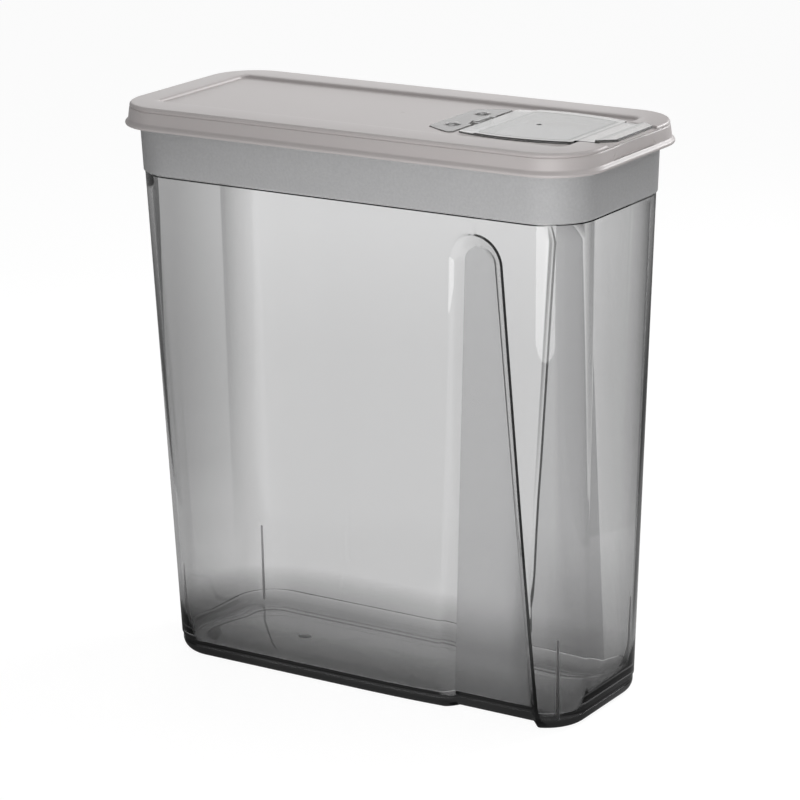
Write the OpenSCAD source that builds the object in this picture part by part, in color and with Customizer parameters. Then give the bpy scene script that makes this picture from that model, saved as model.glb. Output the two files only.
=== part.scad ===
// Cereal container with a push-on lid and a clear flip spout.
// A tall tapered box with a hand grip pressed into each broad wall,
// a crowned lid with a pouring hole, a snapped-in hinge strip and the spout flap.
// The origin is at the middle of the base, +X points to the pouring end.

/* [Container] */
// Height of the foot line, where the wall steps in
foot_h = 9.3; // [8:0.1:14]
// Outside length of the wall at the foot line
foot_l = 226.3; // [215:0.1:232]
// Outside width of the wall at the foot line
foot_w = 83.2; // [76:0.1:88]
// Corner radius of the wall at the foot line
foot_r = 22.3; // [18:0.1:26]
// How far the wall steps in below the foot line
foot_step = 0.6; // [0.3:0.05:1]
// Radius of the roll between the wall and the base
foot_roll = 6; // [4:0.1:7.5]
// Height of the line where the frosted collar begins
collar_z = 241.8; // [225:0.1:255]
// Outside length of the wall just under the collar
top_l = 240.2; // [236:0.1:243]
// Outside width of the wall just under the collar
top_w = 96.2; // [93:0.1:98]
// Corner radius of the wall just under the collar
top_r = 22.6; // [20:0.1:26]
// How far the collar stands proud of the wall
collar_step = 0.7; // [0.3:0.05:1]
// Height of the collar up to the rim
collar_h = 29.6; // [28:0.1:31]
// Wall thickness
wall_t = 1.8; // [1.4:0.05:2.2]
// Floor thickness
floor_t = 2.2; // [1.6:0.05:3]
// Width of the blend between the inner wall and the floor
floor_blend = 9.5; // [6:0.1:12]
// How far the bead under the rim stands out
bead_out = 0.8; // [0.4:0.05:1.2]
// Height of the bead
bead_h = 3.4; // [2:0.1:4]
// Height of the ribs inside the corners
corner_rib_h = 35; // [20:1:50]
// Thickness of the ribs inside the corners
corner_rib_t = 0.9; // [0.6:0.1:1.4]
// How far the ribs inside the corners stand out at their foot
corner_rib_out = 2.4; // [1:0.1:4]
// Diameter of the gate mark on the floor
floor_gate_d = 4.2; // [3:0.1:6]
// Place of the floor's gate mark along the length
floor_gate_x = -58; // [-70:0.5:-40]

/* [Hand grips] */
// Middle of the grips along the length
grip_x = 70.6; // [60:0.1:72]
// Half width between the outer edges of a grip at the foot line
grip_edge_foot = 26.4; // [24:0.1:27]
// Half width between the outer edges of a grip at its arch
grip_edge_top = 13.8; // [12:0.1:16]
// Half width of the grip's floor at the foot line
grip_floor_foot = 20.2; // [16:0.1:21]
// Half width of the grip's floor at its arch
grip_floor_top = 7.6; // [6:0.1:9]
// Height where the grip's arch springs
grip_arch_z = 219.2; // [190:0.1:220]
// Depth of a grip at the base
grip_d_foot = 7; // [4:0.1:8]
// Depth of a grip at its arch
grip_d_top = 5.2; // [3:0.1:6.5]
// How far the wall is drawn in beside the grip's soft edge
grip_draw = 1.5; // [0:0.1:2]
// Length over which the wall is drawn in
grip_draw_l = 42; // [20:1:50]

/* [Lid] */
// How far the lid's top edge stands out from the collar at each end
lid_over_l = 4.2; // [3.6:0.05:4.6]
// How far the lid's top edge stands out from the collar at each side
lid_over_w = 4.05; // [3.6:0.05:4.6]
// Gap between the container's rim and the lid's floor over it
rim_clear = 0.3; // [0.2:0.05:0.6]
// Corner radius of the lid at its top edge
lid_r = 24; // [22:0.1:27]
// Depth of the skirt below the crown
skirt_h = 10.9; // [9:0.1:12]
// How far the skirt widens from the top edge to the flare
skirt_draft = 0.8; // [0.4:0.05:1.2]
// How far the flared lip stands out from the skirt
flare_out = 1.5; // [0.8:0.05:2]
// Height of the flared lip
flare_h = 3.2; // [2.4:0.1:4.5]
// Rounding of the top edge
edge_r = 2.2; // [1.2:0.1:3]
// Wall thickness of the lid
lid_t = 1.6; // [1.3:0.05:1.8]
// Width of the crowned rim at each end of the sunken panel
end_band = 15.3; // [13:0.1:16.5]
// Width of the crowned rim at each side of the sunken panel
side_band = 16.85; // [15:0.05:18]
// Depth of the sunken panel
panel_sink = 1.6; // [1.2:0.05:1.9]
// Corner radius of the sunken panel
panel_r = 4; // [2:0.1:8]
// Gap between the lid's plug ring and the container's mouth
plug_gap = 0.3; // [0.2:0.05:0.6]
// Depth of the plug ring below the channel
plug_h = 9; // [6:0.1:12]
// Gap between the container's rim and the ribs it carries the lid by
seat_gap = 0.1; // [0.05:0.05:0.3]
// Number of seat ribs along each long side
seat_ribs_long = 5; // [3:1:7]
// Thickness of a seat rib
seat_rib_t = 1.2; // [0.8:0.1:2]
// Half width of the notch in the rim for the spout's tongue
notch_half = 23; // [22.8:0.1:26]
// Depth of the finger scoop in the skirt
scoop_d = 0.7; // [0.3:0.05:1]
// How much narrower the scoop is than the notch, at each side
scoop_in = 3; // [1:0.1:5]
// Lean of the finger scoop in degrees
scoop_lean = 4; // [0:0.5:8]
// Diameter of the gate marks on the lid and the flap
gate_d = 2.8; // [2:0.1:4]
// Depth of the gate marks
gate_h = 0.2; // [0.1:0.05:0.4]
// Place of the lid's gate mark along the length
lid_gate_x = 4.5; // [0:0.1:10]

/* [Pour opening] */
// From the hinge axis to the rear end of the opening
hole_back = 1.4; // [1:0.05:2.5]
// How far the flap covers the panel in front of the opening
hole_cover = 2.8; // [2.2:0.1:4]
// Ledge that the flap covers beside the opening
hole_ledge = 3.2; // [2.6:0.1:4]
// Depth of the collar round the opening
hole_collar_h = 2.4; // [1:0.1:4]
// Corner radius of the opening
hole_r = 3; // [1.5:0.1:4]
// Wall thickness of the collar round the opening
hole_wall = 1.2; // [0.8:0.05:1.6]

/* [Hinge strip] */
// From the strip's rear edge to the hinge axis
strip_back = 15.7; // [13:0.1:18]
// From the hinge axis to the strip's front edge
strip_fore = 0.6; // [0.4:0.05:0.8]
// Half width of the strip at its rear edge
strip_half0 = 19.8; // [17:0.1:22]
// Half width of the strip at its front edge
strip_half1 = 27.9; // [25:0.1:29]
// Thickness of the strip
strip_t = 1.2; // [1:0.05:1.3]
// How far the strip lies below the panel
pocket_d = 0.8; // [0.6:0.05:0.9]
// Gap round the strip in its pocket
pocket_gap = 0.25; // [0.1:0.05:0.4]
// Corner radius of the strip
strip_r = 2; // [1:0.1:3]
// From the snap studs to the hinge axis
stud_back = 7.4; // [7:0.1:9]
// Place of the snap studs to each side
stud_y = 13; // [12:0.1:16]
// Diameter of the stud's domed head
dome_d = 9; // [7:0.1:10]
// Height of the stud's domed head
dome_h = 0.9; // [0.5:0.05:1.2]
// Diameter of the stud's shank
shank_d = 4.6; // [3.5:0.1:5.5]
// Gap between the shank and its hole
shank_gap = 0.15; // [0.05:0.01:0.3]
// How far the barb of the stud stands out
barb_out = 0.5; // [0.3:0.05:0.7]
// Play between the barb and the underside of the lid
barb_gap = 0.2; // [0.1:0.05:0.4]
// Height of the barb's straight part
barb_h = 0.6; // [0.4:0.1:1]
// Height of the barb's tapered tip
barb_tip = 1.6; // [1:0.1:2.2]
// Width of the slit that lets the barb spring
slit_w = 1; // [0.6:0.1:1.4]
// Half width of the knuckle block
block_half = 5.85; // [5:0.05:6.5]
// Length of the knuckle block
block_l = 4.2; // [4:0.05:4.6]
// Lowest point of the knuckle block
block_z0 = 269.4; // [268.5:0.05:270.5]
// Room behind the knuckle block in the lid's slot
block_room = 0.8; // [0.4:0.05:1.2]
// Rounding of the knuckle block's upper edges
block_r = 0.8; // [0.4:0.1:1.2]
// Depth of the grooves across the block's front
block_groove = 0.35; // [0.2:0.05:0.5]
// Height of a groove
groove_h = 0.5; // [0.3:0.1:0.8]
// Distance from one groove to the next, and from the block's foot to the first
groove_pitch = 1.1; // [0.9:0.1:1.4]

/* [Hinge] */
// From the hinge axis to the pouring end of the lid
axis_back = 78.1; // [76:0.05:80]
// Height of the hinge axis above the panel
axis_up = -0.3; // [-0.4:0.05:-0.2]
// Diameter of the flap's trunnions
pin_d = 2; // [1.6:0.05:2.1]
// Running gap between a trunnion and its bore
pin_gap = 0.05; // [0.02:0.01:0.08]
// Length of a trunnion inside the block
pin_l = 2.6; // [1.5:0.1:4]
// Outer radius of the flap's ears
ear_r = 1.5; // [1.35:0.05:1.55]
// Thickness of an ear
ear_t = 2; // [1.4:0.1:2.2]
// Gap between an ear and the block
ear_gap = 0.25; // [0.15:0.05:0.4]

/* [Flap] */
// From the hinge axis to the rear edge of the flap
flap_fore = 3.5; // [3.3:0.05:4.2]
// Gap between the flap's broad part and the end of the panel
flap_end_gap = 1.4; // [0.8:0.05:2]
// Greatest half width of the flap
flap_half = 30.4; // [29:0.1:31.5]
// From the flap's rear edge to its widest place
flap_wide = 25.6; // [20:0.1:32]
// How much the flap narrows to its rear edge
flap_narrow0 = 3.8; // [2:0.1:5]
// How much the flap narrows to its front edge
flap_narrow1 = 5; // [3:0.1:6]
// Corner radius of the flap's broad part
flap_r = 2; // [1:0.1:4]
// Gap between the flap and the panel
flap_gap = 0.1; // [0.05:0.01:0.2]
// Thickness of the flap's rear flange
flange_t = 0.9; // [0.7:0.05:1]
// Length of the rear flange
flange_l = 9.2; // [7:0.1:11]
// Thickness of the flap's broad plate
flap_t = 1.4; // [1.1:0.05:1.5]
// Gap between the flap's plug and the opening
spout_gap = 0.4; // [0.3:0.05:0.6]
// Wall thickness of the flap's plug
spout_wall = 1.2; // [0.9:0.05:1.6]
// Depth of the flap's plug
spout_h = 3.2; // [2.4:0.1:4]
// Gap between the tongue and each side of its notch
tongue_gap = 1; // [0.5:0.1:2]
// Length of the raised finger lip
lip_l = 8.7; // [7:0.1:10]
// How far the finger lip reaches past the lid's top edge
lip_over = 1.3; // [0.8:0.05:2.2]
// Half width of the finger lip at its tip
lip_half = 17.6; // [15:0.1:20]
// Top of the finger lip above the flap's plate
lip_up = 1.15; // [0.9:0.05:1.5]
// Thickness of the finger lip
lip_t = 1.3; // [1.1:0.05:1.6]
// Corner radius of the finger lip's tip
lip_r = 2.5; // [1:0.1:4]
// Place of the flap's gate mark ahead of its rear edge
flap_gate = 26.6; // [20:0.1:32]

/* [Hidden] */
$fn = 48;
corner_steps = 7;
eps = 0.01;
// How far joined forms reach into each other
sink = 0.2;
smoke_tint = [0.62, 0.62, 0.63, 0.7];
lid_tint = [0.72, 0.69, 0.68];
clear_tint = [0.78, 0.78, 0.78, 0.6];

rim_z = collar_z + collar_h;
panel_under = rim_z + rim_clear;
panel_z = panel_under + lid_t;
lid_top_z = panel_z + panel_sink;
skirt_z0 = lid_top_z - skirt_h;
seat_z = rim_z + seat_gap;
roof_z = lid_top_z - lid_t;
draft_l = (top_l - foot_l) / (collar_z - foot_h);
draft_w = (top_w - foot_w) / (collar_z - foot_h);
draft_r = (top_r - foot_r) / (collar_z - foot_h);
collar_l = top_l + 2 * collar_step;
collar_w = top_w + 2 * collar_step;
collar_r = top_r + collar_step;
lid_l = collar_l + 2 * lid_over_l;
lid_w = collar_w + 2 * lid_over_w;
lid_end = lid_l / 2;
panel_end = lid_end - end_band;
axis_x = lid_end - axis_back;
axis_z = panel_z + axis_up;
flap_x0 = axis_x + flap_fore;
flap_x1 = panel_end - flap_end_gap;
flap_wide_x = flap_x0 + flap_wide;
flange_x = flap_x0 + flange_l;
hole_x0 = axis_x + hole_back;
hole_x1 = flap_x1 - hole_cover;
tongue_half = notch_half - tongue_gap;
lip_x1 = lid_end + lip_over;
lip_x0 = lip_x1 - lip_l;
flap_z0 = panel_z + flap_gap;
plate_z = flap_z0 + flap_t;
lip_z1 = plate_z + lip_up;
strip_x0 = axis_x - strip_back;
strip_z0 = panel_z - pocket_d;
strip_z1 = strip_z0 + strip_t;
stud_x = axis_x - stud_back;
block_x0 = axis_x - block_l / 2;
block_x1 = block_x0 + block_l;
block_z1 = axis_z + ear_r + 0.1;
slot_half = block_half + ear_gap + ear_t + ear_gap;

// An arc of points, and a rounded rectangle as a ring of points
function arc(cx, cy, r, a0, turn) = [for (i = [0:corner_steps])
    let (a = a0 + turn * i / corner_steps)
    [cx + r * cos(a), cy + r * sin(a)]];

function rounded(l, w, r) =
    let (cx = l / 2 - r, cy = w / 2 - r)
    concat(
        arc(cx, cy, r, 0, 90),
        arc(-cx, cy, r, 90, 90),
        arc(-cx, -cy, r, 180, 90),
        arc(cx, -cy, r, 270, 90));

function lifted(ring, z) = [for (p = ring) [p[0], p[1], z]];

// Joins a stack of rings, either closed at both ends or back onto itself
module loft(rings, ends = true) {
    n = len(rings[0]);
    m = len(rings);
    spans = ends ? m - 2 : m - 1;
    sides = [for (j = [0:spans]) for (i = [0:n - 1])
        let (k = (i + 1) % n, q = (j + 1) % m)
        for (f = [[j * n + i, q * n + k, j * n + k], [j * n + i, q * n + i, q * n + k]]) f];
    bottom = [[for (i = [0:n - 1]) i]];
    top = [[for (i = [0:n - 1]) m * n - 1 - i]];
    polyhedron([for (r = rings) for (p = r) p], ends ? concat(bottom, sides, top) : sides, convexity = 10);
}

// Size of the wall's and the collar's outline at a height: length, width and corner radius
function wall_at(z) =
    let (h = z - foot_h)
    [foot_l + draft_l * h, foot_w + draft_w * h, foot_r + draft_r * h];

function collar_at(z) =
    let (h = z - collar_z)
    [collar_l + draft_l * h, collar_w + draft_w * h, collar_r + draft_r * h];

function inset(s, d) = [s[0] - 2 * d, s[1] - 2 * d, max(s[2] - d, 1)];

// Half widths of a grip's outer edge and of its floor at a height, moved out by g
function clamp(u) = min(max(u, 0), 1);
function along(z) = clamp((z - foot_h) / (grip_arch_z - foot_h));
function arch_half(r, z, least) = sqrt(max(least * least, r * r - pow(z - grip_arch_z, 2)));
function blend(low, high, z) = low + (high - low) * along(z);

function edge_half(z, g) = z > grip_arch_z
    ? arch_half(grip_edge_top + g, z, 3)
    : g + blend(grip_edge_foot, grip_edge_top, z);

function floor_half(z, g) = z > grip_arch_z
    ? arch_half(grip_floor_top + g, z, 1)
    : g + blend(grip_floor_foot, grip_floor_top, z);

// A grip's floor has a sharp edge all round. The pouring side ends in a sharp step on the wall
// and the other side runs out softly
function crisp(u) = 1 - pow(clamp(u), 1.25);
function soft(u) = pow(1 - clamp(u), 1.8);

function arch_drop(dx, dz, g) =
    let (
        rho = norm([dx, dz]),
        u = (rho - grip_floor_top - g) / (grip_edge_top - grip_floor_top),
        w = (1 + dx / max(rho, eps)) / 2)
    grip_d_top * (w * crisp(u) + (1 - w) * soft(u));

function slope_drop(dx, z, g) =
    let (
        e = edge_half(z, g),
        f = floor_half(z, g),
        d = blend(grip_d_foot, grip_d_top, z),
        t = grip_draw * (1 - along(z)),
        u = (abs(dx) - f) / (e - f),
        beyond = (-dx - e) / grip_draw_l)
    dx > 0 ? d * crisp(u) : u <= 1 ? t + (d - t) * soft(u) : t * pow(1 - clamp(beyond), 2);

function grip_drop(x, z, g) = z > grip_arch_z
    ? arch_drop(x - grip_x, z - grip_arch_z, g)
    : slope_drop(x - grip_x, z, g);

// One half of the container's outline, from the pouring end to the other end
function wall_y(x, cx, cy, r) = cy + (x > cx ? sqrt(max(0, r * r - pow(x - cx, 2))) : r);

function stations(e, f) = concat(
    [for (u = [1, 0.8, 0.55, 0.3, 0.12, 0]) grip_x + f + (e - f) * u],
    [grip_x],
    [for (u = [0, 0.2, 0.4, 0.6, 0.8, 1]) grip_x - f - (e - f) * u],
    [for (u = [0.3, 0.6, 1]) grip_x - e - grip_draw_l * u]);

function half_ring(s, z, g) =
    let (
        r = s[2],
        cx = s[0] / 2 - r,
        cy = s[1] / 2 - r,
        e = min(edge_half(z, g), cx + 0.8 * r - grip_x),
        f = min(floor_half(z, g), e - 1),
        turn = acos(max(0, grip_x + e + 0.5 - cx) / r))
    concat(
        arc(cx, cy, r, 0, turn),
        [for (x = stations(e, f)) [x, wall_y(x, cx, cy, r) - grip_drop(x, z, g)]],
        arc(-cx, cy, r, 90, 90));

function grip_ring(s, z, g = 0) =
    let (h = half_ring(s, z, g), n = len(h))
    lifted(concat(h, [for (i = [n - 1:-1:0]) [h[i][0], -h[i][1]]]), z);

// Heights of the rings through a grip's arch, closer together towards its top
function arch_heights(g) = [for (f = [0, 0.2, 0.38, 0.55, 0.68, 0.79, 0.89, 0.96, 1.02])
    grip_arch_z + f * (grip_edge_top + g)];

function reversed(list) = [for (i = [len(list) - 1:-1:0]) list[i]];

// The outside, from the base up over the foot line, the arch and the collar to the rim
function foot_rings() = [for (a = [0:18:90])
    let (d = foot_step + foot_roll * (1 - sin(a)))
    grip_ring(inset(wall_at(foot_h), d), foot_roll * (1 - cos(a)))];

function bead_rings() = [for (b = [[0, 1], [1, 0.55], [1, 0.25], [0, 0]])
    let (z = rim_z - 0.6 - bead_h * b[1])
    grip_ring(inset(collar_at(z), -bead_out * b[0]), z)];

function outer_rings() = concat(
    foot_rings(),
    [grip_ring(inset(wall_at(foot_h), foot_step * 0.8), foot_h - 0.2), grip_ring(wall_at(foot_h), foot_h)],
    [for (z = arch_heights(0)) grip_ring(wall_at(z), z)],
    [grip_ring(wall_at(collar_z), collar_z), grip_ring(collar_at(collar_z), collar_z + 0.3)],
    bead_rings(),
    [grip_ring(inset(collar_at(rim_z), 0.4), rim_z)]);

// The inside, from the rim down to the floor, with the grips moved out for an even wall
inner_g = 0.42 * wall_t;

function wall_ring(z) = grip_ring(inset(wall_at(z), wall_t), z, inner_g);
function mouth_ring(z) = grip_ring(inset(collar_at(z), wall_t), z, inner_g);

function floor_rings() = [for (a = [90:-18:0])
    let (d = foot_step + floor_blend * (1 - sin(a)), h = foot_h - 0.3 - floor_t)
    grip_ring(inset(wall_at(foot_h), wall_t + d), floor_t + h * (1 - cos(a)), inner_g)];

function inner_rings() = concat(
    [grip_ring(inset(collar_at(rim_z), wall_t - 0.2), rim_z), mouth_ring(rim_z - 1)],
    [mouth_ring(collar_z), wall_ring(collar_z - 1.5)],
    [for (z = reversed(arch_heights(inner_g))) wall_ring(z)],
    [wall_ring(foot_h)],
    floor_rings());

// Thin upright ribs in the four corners inside, tapering to nothing at their top
module corner_ribs() {
    s = inset(wall_at(foot_h), wall_t);
    reach = s[2] * sqrt(0.5);
    for (sx = [-1, 1]) for (sy = [-1, 1])
        translate([sx * (s[0] / 2 - s[2] + reach), sy * (s[1] / 2 - s[2] + reach), foot_h - 1])
            rotate([0, 0, atan2(-sy, -sx)])
                rotate([90, 0, 0]) linear_extrude(corner_rib_t, center = true)
                    polygon([[-1, 0], [corner_rib_out, 0], [-0.4, corner_rib_h], [-1, corner_rib_h]]);
}

module container_body() {
    color(smoke_tint) {
        loft(concat(outer_rings(), inner_rings()));
        corner_ribs();
        translate([floor_gate_x, 0, floor_t - sink]) cylinder(d = floor_gate_d, h = sink + gate_h);
    }
}

// The lid's shell as one closed outline carried round the corners:
// each ring has its distance in from the top edge, or its own size, and its height
function sized_ring(s, z) = lifted(rounded(s[0], s[1], s[2]), z);
function lid_ring(d, z) = sized_ring([lid_l - 2 * d, lid_w - 2 * d, max(lid_r - d, 0.6)], z);

mouth = inset(collar_at(rim_z - 1), wall_t);
plug = inset(mouth, plug_gap);
plug_z0 = seat_z - plug_h;
panel_size = [lid_l - 2 * end_band, lid_w - 2 * side_band, panel_r];

function skirt_outside() = [
    lid_ring(-skirt_draft, skirt_z0),
    lid_ring(-skirt_draft - flare_out * 0.8, skirt_z0 + 0.15 * flare_h),
    lid_ring(-skirt_draft - flare_out, skirt_z0 + 0.45 * flare_h),
    lid_ring(-skirt_draft - flare_out * 0.8, skirt_z0 + 0.7 * flare_h),
    lid_ring(-skirt_draft - flare_out * 0.25, skirt_z0 + 0.88 * flare_h),
    lid_ring(-skirt_draft, skirt_z0 + flare_h)];

function skirt_top() = [for (a = [0:22.5:90])
    lid_ring(edge_r * (1 - cos(a)), lid_top_z - 0.35 - edge_r * (1 - sin(a)))];

function crown() = [
    lid_ring(end_band * 0.45, lid_top_z - 0.08),
    lid_ring(end_band * 0.75, lid_top_z),
    sized_ring(inset(panel_size, -0.7), lid_top_z - 0.03),
    sized_ring(inset(panel_size, -0.25), lid_top_z - 0.25),
    sized_ring(panel_size, lid_top_z - 0.7),
    sized_ring(inset(panel_size, 0.3), panel_z - 0.4)];

function plug_rings() = [
    sized_ring(inset(plug, 1.4), panel_under + 0.2),
    sized_ring(inset(plug, 1.6), plug_z0),
    sized_ring(inset(plug, 0.9), plug_z0),
    sized_ring(inset(plug, 0.2), plug_z0 + 1.6),
    sized_ring(plug, seat_z - 2),
    sized_ring(plug, panel_under + 0.4)];

function skirt_inside() = [
    lid_ring(edge_r + lid_t, roof_z),
    lid_ring(lid_t, roof_z - 1),
    lid_ring(lid_t - skirt_draft, skirt_z0 + flare_h),
    lid_ring(lid_t - skirt_draft - flare_out * 0.6, skirt_z0 + 0.6 * flare_h),
    lid_ring(lid_t - skirt_draft - flare_out * 0.6, skirt_z0)];

function lid_rings() = concat(
    skirt_outside(),
    skirt_top(),
    crown(),
    [sized_ring(inset(panel_size, 0.3), panel_under + 0.4)],
    [sized_ring(inset(panel_size, -lid_t), panel_under + 0.4)],
    plug_rings(),
    skirt_inside());

// Half width of the flap and, less a ledge, of the opening under it
function flap_w(x) = flap_half - (x < flap_wide_x
    ? flap_narrow0 * pow((flap_wide_x - x) / (flap_wide_x - flap_x0), 2)
    : flap_narrow1 * pow((x - flap_wide_x) / (flap_x1 - flap_wide_x), 2));

// Closed outline between two places along the length, with rounded corners
module boat(x0, x1, d, r) {
    steps = 14;
    xs = [for (i = [0:steps]) x0 + (x1 - x0) * i / steps];
    hull() for (s = [-1, 1]) {
        for (x = [x0 + r, x1 - r]) translate([x, s * (flap_w(x) - d - r)]) circle(r, $fn = 24);
        polygon([for (x = xs) if (x > x0 + r && x < x1 - r) [x, s * (flap_w(x) - d)]]);
    }
}

module strip_outline(d) {
    steps = 6;
    length = strip_back + strip_fore + 2 * d;
    side = [for (i = [0:steps])
        let (u = i / steps, narrow = (strip_half1 - strip_half0) * pow(1 - u, 1.4))
        [strip_x0 - d + length * u, strip_half1 + d - narrow]];
    offset(strip_r) offset(-strip_r) polygon(concat(side, [for (p = reversed(side)) [p[0], -p[1]]]));
}

module at_studs() {
    for (s = [-1, 1]) translate([stud_x, s * stud_y, 0]) children();
}

// A flat box between two corners
module box(low, high) {
    translate(low) cube(high - low);
}

// Small ribs in the channel that rest on the container's rim
module seat_ribs() {
    out_l = lid_l / 2 - lid_t + 2 * sink;
    in_l = plug[0] / 2 - 2 * sink;
    out_w = lid_w / 2 - lid_t + 2 * sink;
    in_w = plug[1] / 2 - 2 * sink;
    span = lid_l - 2 * lid_r - 4;
    half = seat_rib_t / 2;
    z1 = roof_z + sink;
    for (s = [0, 180]) rotate([0, 0, s]) {
        for (i = [0:seat_ribs_long - 1]) {
            x = -span / 2 + span * i / (seat_ribs_long - 1);
            box([x - half, in_w, seat_z], [x + half, out_w, z1]);
        }
        for (y = [-(notch_half + 4), notch_half + 4])
            box([in_l, y - half, seat_z], [out_l, y + half, z1]);
    }
}

// The notch in the rim band and the shallow scoop below it
module tongue_notch() {
    half = notch_half - scoop_in;
    scoop_r = (pow(half, 2) + pow(scoop_d, 2)) / (2 * scoop_d);
    box([panel_end - 1, -notch_half, panel_z], [lid_end + lip_l, notch_half, lid_top_z + 1]);
    translate([lid_end + skirt_draft - scoop_d, 0, skirt_z0 + flare_h])
        rotate([0, -scoop_lean, 0]) translate([scoop_r, 0, 0]) cylinder(r = scoop_r, h = skirt_h, $fn = 360);
}

// What stands on the shell: the panel, the pad under the strip, the collar of the opening
// and the floor of the notch, which closes the channel above the rim
module lid_solids() {
    loft(lid_rings(), ends = false);
    translate([0, 0, panel_under]) linear_extrude(lid_t)
        square([panel_size[0] - sink, panel_size[1] - sink], center = true);
    translate([0, 0, strip_z0 - lid_t]) linear_extrude(lid_t) strip_outline(2);
    translate([0, 0, panel_under - hole_collar_h]) linear_extrude(hole_collar_h + eps)
        boat(hole_x0 - hole_wall, hole_x1 + hole_wall, hole_ledge - hole_wall, hole_r + hole_wall);
    box([panel_end - 1, -notch_half - lid_t, panel_under], [lid_end - 1, notch_half + lid_t, panel_z]);
    seat_ribs();
}

module lid() {
    pad_z0 = strip_z0 - lid_t;
    hole_z0 = panel_under - hole_collar_h;
    slot_side = slot_half + ear_gap;
    color(lid_tint) difference() {
        lid_solids();
        tongue_notch();
        translate([0, 0, strip_z0]) linear_extrude(lid_t) strip_outline(pocket_gap);
        translate([0, 0, hole_z0 - 1]) linear_extrude(lid_top_z - hole_z0)
            boat(hole_x0, hole_x1, hole_ledge, hole_r);
        box([block_x0 - block_room, -slot_side, hole_z0 - 1], [hole_x0 + 1, slot_side, lid_top_z]);
        at_studs() translate([0, 0, pad_z0 - 1]) cylinder(d = shank_d + 2 * shank_gap, h = 2 * lid_t);
        translate([lid_gate_x, 0, panel_z - gate_h]) cylinder(d = gate_d, h = 1);
    }
}

// A snap stud: shank, barb and the low domed head, cut from a ball
module snap_stud() {
    shank_z0 = strip_z0 - lid_t - barb_gap;
    barb_d = shank_d + 2 * barb_out;
    ball_r = (pow(dome_d / 2, 2) + pow(dome_h, 2)) / (2 * dome_h);
    translate([0, 0, shank_z0]) cylinder(d = shank_d, h = strip_z1 - shank_z0);
    translate([0, 0, shank_z0 - barb_h]) cylinder(d = barb_d, h = barb_h);
    translate([0, 0, shank_z0 - barb_h - barb_tip]) cylinder(d1 = shank_d - 1, d2 = barb_d, h = barb_tip);
    translate([0, 0, strip_z1]) rotate_extrude() intersection() {
        translate([0, dome_h - ball_r]) circle(ball_r, $fn = 96);
        translate([0, -sink]) square([dome_d / 2, dome_h + 2 * sink]);
    }
}

// Side view of the knuckle block, with its rounded top and two grooves
module block_profile() {
    x0 = block_x0 + block_r;
    x1 = block_x1 - block_r;
    difference() {
        union() {
            translate([block_x0, block_z0]) square([block_l, block_z1 - block_z0 - block_r]);
            translate([x0, block_z1 - 2 * block_r]) square([x1 - x0, 2 * block_r]);
            for (x = [x0, x1]) translate([x, block_z1 - block_r]) circle(block_r);
        }
        for (i = [0, 1])
            translate([block_x1 - block_groove, block_z0 + groove_pitch * (i + 0.5)]) square([1, groove_h]);
    }
}

module hinge_strip() {
    slit_z0 = strip_z0 - lid_t - barb_gap - barb_h - barb_tip;
    color(clear_tint) difference() {
        union() {
            translate([0, 0, strip_z0]) linear_extrude(strip_t) difference() {
                strip_outline(0);
                for (y = [block_half, -slot_half]) translate([block_x0 - sink, y])
                    square([block_l, slot_half - block_half]);
            }
            at_studs() snap_stud();
            rotate([90, 0, 0]) linear_extrude(2 * block_half, center = true) block_profile();
        }
        at_studs() translate([-slit_w / 2, -shank_d, slit_z0 - 1])
            cube([slit_w, 2 * shank_d, barb_tip + barb_h + 1]);
        translate([axis_x, 0, axis_z]) rotate([90, 0, 0])
            cylinder(d = pin_d + 2 * pin_gap, h = 2 * block_half + 2, center = true);
    }
}

// Side view of the tongue and the raised lip
module lip_profile() {
    z0 = lip_z1 - lip_t;
    x0 = flap_x1 - 1;
    polygon([
        [x0, flap_z0 + flap_gap],
        [lip_x0, flap_z0 + flap_gap],
        [lip_x0 + 0.9, z0],
        [lip_x1 - 0.2, z0],
        [lip_x1, z0 + 0.3],
        [lip_x1 - 0.25, lip_z1 - 0.2],
        [lip_x1 - 0.6, lip_z1],
        [lip_x0 + 0.4, lip_z1],
        [lip_x0, plate_z],
        [x0, plate_z]]);
}

module lip_outline() {
    x0 = flap_x1 - 1;
    hull() {
        for (s = [-1, 1]) translate([lip_x1 - lip_r, s * (lip_half - lip_r)]) circle(lip_r, $fn = 24);
        translate([x0, -tongue_half]) square([lip_x0 + 1.5 - x0, 2 * tongue_half]);
    }
}

// Side view of an ear, drawn round the hinge axis and reaching under the flange
module flap_ear() {
    reach = flap_x0 - axis_x + 3 * sink;
    low = (flap_z0 - axis_z) / 2 - ear_r;
    high = flap_z0 + flange_t - axis_z - sink;
    hull() {
        circle(ear_r);
        for (z = [low, high]) translate([reach, z]) square(sink);
    }
}

// Rear flange, a sloping step and the broad plate
module flap_plate() {
    span = 2 * flap_half + 2;
    translate([0, 0, flap_z0]) linear_extrude(flange_t) intersection() {
        boat(flap_x0, flap_x1, 0, flap_r);
        translate([flap_x0, -span / 2]) square([flange_l + 1.5, span]);
    }
    intersection() {
        translate([0, 0, flap_z0]) linear_extrude(flap_t) boat(flap_x0, flap_x1, 0, flap_r);
        rotate([90, 0, 0]) linear_extrude(span, center = true) polygon([
            [flange_x, flap_z0],
            [flange_x, flap_z0 + flange_t],
            [flange_x + 1, plate_z],
            [lip_x1, plate_z],
            [lip_x1, flap_z0]]);
    }
}

// Hollow plug that closes the opening
module flap_plug() {
    d = hole_ledge + spout_gap;
    x1 = hole_x1 - spout_gap;
    translate([0, 0, flap_z0 - spout_h]) linear_extrude(spout_h + sink) difference() {
        boat(flange_x, x1, d, hole_r);
        boat(flange_x + spout_wall, x1 - spout_wall, d + spout_wall, hole_r - 1);
    }
}

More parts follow.
